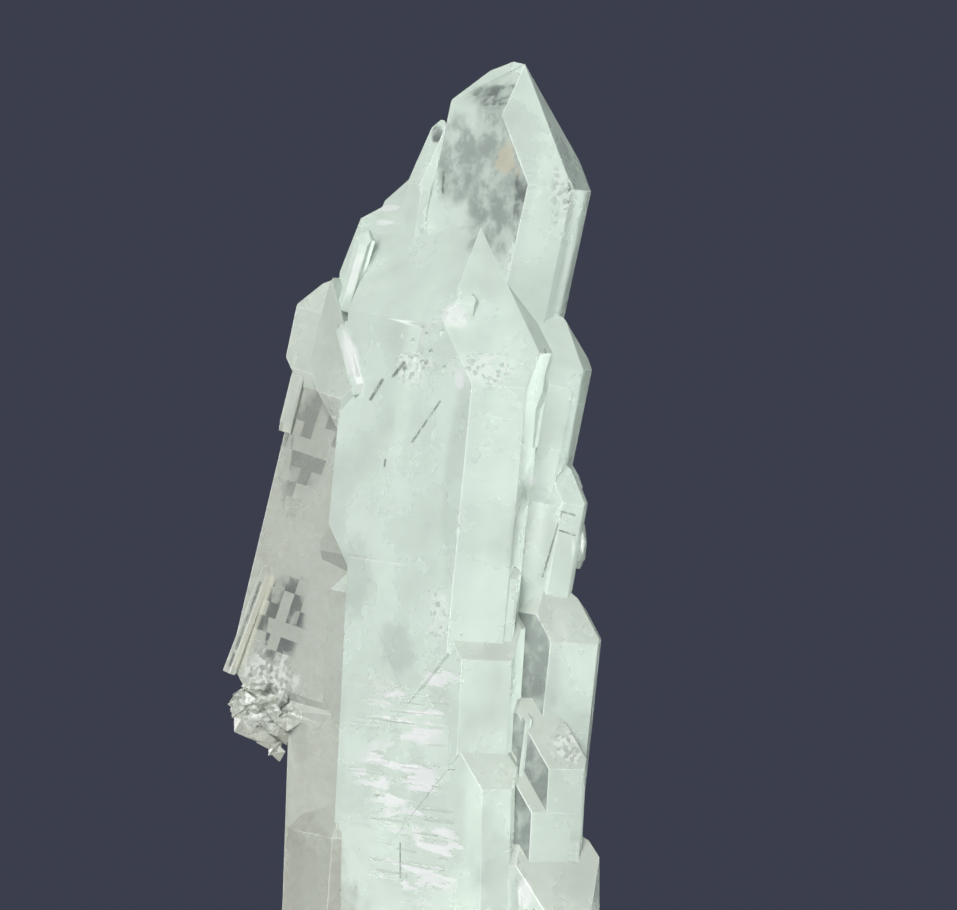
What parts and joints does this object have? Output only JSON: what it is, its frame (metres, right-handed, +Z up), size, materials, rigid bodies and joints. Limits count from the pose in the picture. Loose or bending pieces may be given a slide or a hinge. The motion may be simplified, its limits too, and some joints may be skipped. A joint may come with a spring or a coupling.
{
  "type": "faden quartz specimen",
  "caption": "Upright cluster of clear to milky quartz crystals grown side by side, with flat faces, stepped growth ledges and a flat broken foot it stands on.",
  "frame": {"origin": "middle of the outline in plan, on the flat foot the cluster stands on", "axes": "+Z up along the crystals to the tip, +X to the right as seen from the front, the front faces -Y"},
  "size_m": [0.0382, 0.0323, 0.0932],
  "materials": {
    "quartz": "gloss"
  },
  "bodies": {
    "root": {"quartz_cluster": "quartz"}
  },
  "joints": []
}
